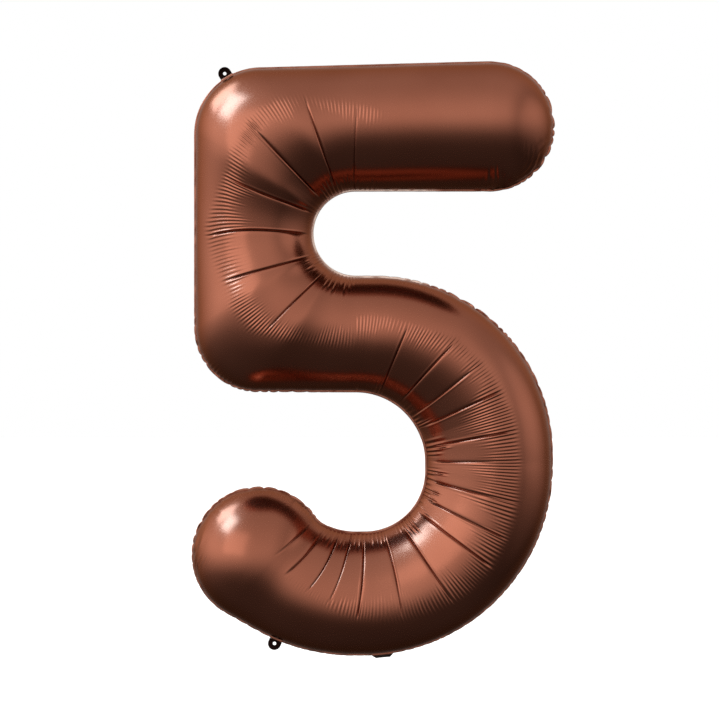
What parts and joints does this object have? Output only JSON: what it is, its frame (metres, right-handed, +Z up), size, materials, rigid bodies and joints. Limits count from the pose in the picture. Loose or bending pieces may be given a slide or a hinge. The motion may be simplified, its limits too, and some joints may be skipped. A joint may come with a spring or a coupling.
{
  "type": "foil number balloon",
  "caption": "Inflated foil number balloon in the figure five, two sealed film panels with hang tabs, a folded filler tail and an inner valve sleeve.",
  "frame": {"origin": "centre of the top hang hole, on the seam plane", "axes": "+X to the figure's right, +Z up, +Y from the front of the figure to its back"},
  "size_m": [0.5293, 0.2034, 0.8719],
  "materials": {
    "metallised_film": "satin metallised film, chocolate brown",
    "valve_film": "translucent polyethylene film"
  },
  "bodies": {
    "balloon": {"front_foil": "metallised_film", "back_foil": "metallised_film"},
    "top_tab": {"top_hang_tab": "metallised_film"},
    "lower_tab": {"lower_hang_tab": "metallised_film"},
    "filler": {"filler_tail": "metallised_film"},
    "valve_sleeve": {"valve_front_ply": "valve_film", "valve_back_ply": "valve_film"}
  },
  "joints": [
    {"name": "top_tab_flex", "type": "hinge", "parent": "balloon", "child": "top_tab", "pos_m": [0.00247, 0, -0.00411], "axis": [0.8572, 0, 0.515], "range_deg": [-80, 80], "stiffness_Nm_per_rad": 0.0002},
    {"name": "lower_tab_flex", "type": "hinge", "parent": "balloon", "child": "lower_tab", "pos_m": [0.07422, 0, -0.82431], "axis": [-0.9205, 0, 0.3907], "range_deg": [-80, 80], "stiffness_Nm_per_rad": 0.0002},
    {"name": "filler_tail_fold", "type": "hinge", "parent": "balloon", "child": "filler", "pos_m": [0.22983, 0, -0.8459], "axis": [-0.9945, 0, -0.1045], "range_deg": [-10, 166], "stiffness_Nm_per_rad": 0.0006},
    {"name": "valve_sleeve_sway", "type": "hinge", "parent": "balloon", "child": "valve_sleeve", "pos_m": [0.22913, 0, -0.83923], "axis": [-0.9945, 0, -0.1045], "range_deg": [-25, 25], "stiffness_Nm_per_rad": 0.002}
  ]
}
